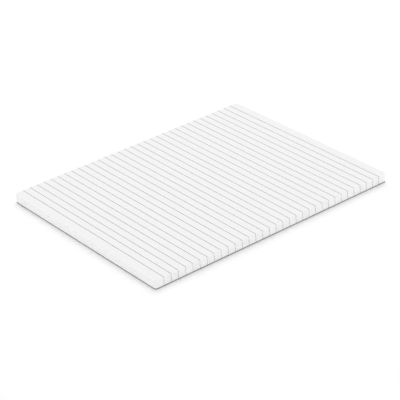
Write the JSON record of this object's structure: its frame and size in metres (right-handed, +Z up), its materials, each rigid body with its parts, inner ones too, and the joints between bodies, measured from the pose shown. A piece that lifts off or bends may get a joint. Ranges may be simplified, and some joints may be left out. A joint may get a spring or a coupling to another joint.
{
  "type": "notepad",
  "caption": "Flat gummed writing pad: ruled sheets on a grey backing board, with lines that run off the long sides and show down the cut edges.",
  "frame": {"origin": "middle of the underside", "axes": "+Y from the foot to the gummed head, +X across along the printed lines, +Z up through the sheets"},
  "size_m": [0.2032, 0.254, 0.0084],
  "materials": {
    "paper": "uncoated, matt, trimmed edges",
    "ink": "matt grey ruling ink soaked into the paper",
    "chipboard": "matt grey, flecked",
    "gum": "satin dried glue film, brushed"
  },
  "bodies": {
    "root": {"paper_block": "paper", "ruling": "ink", "backing_board": "chipboard", "gum_strip": "gum"}
  },
  "joints": []
}
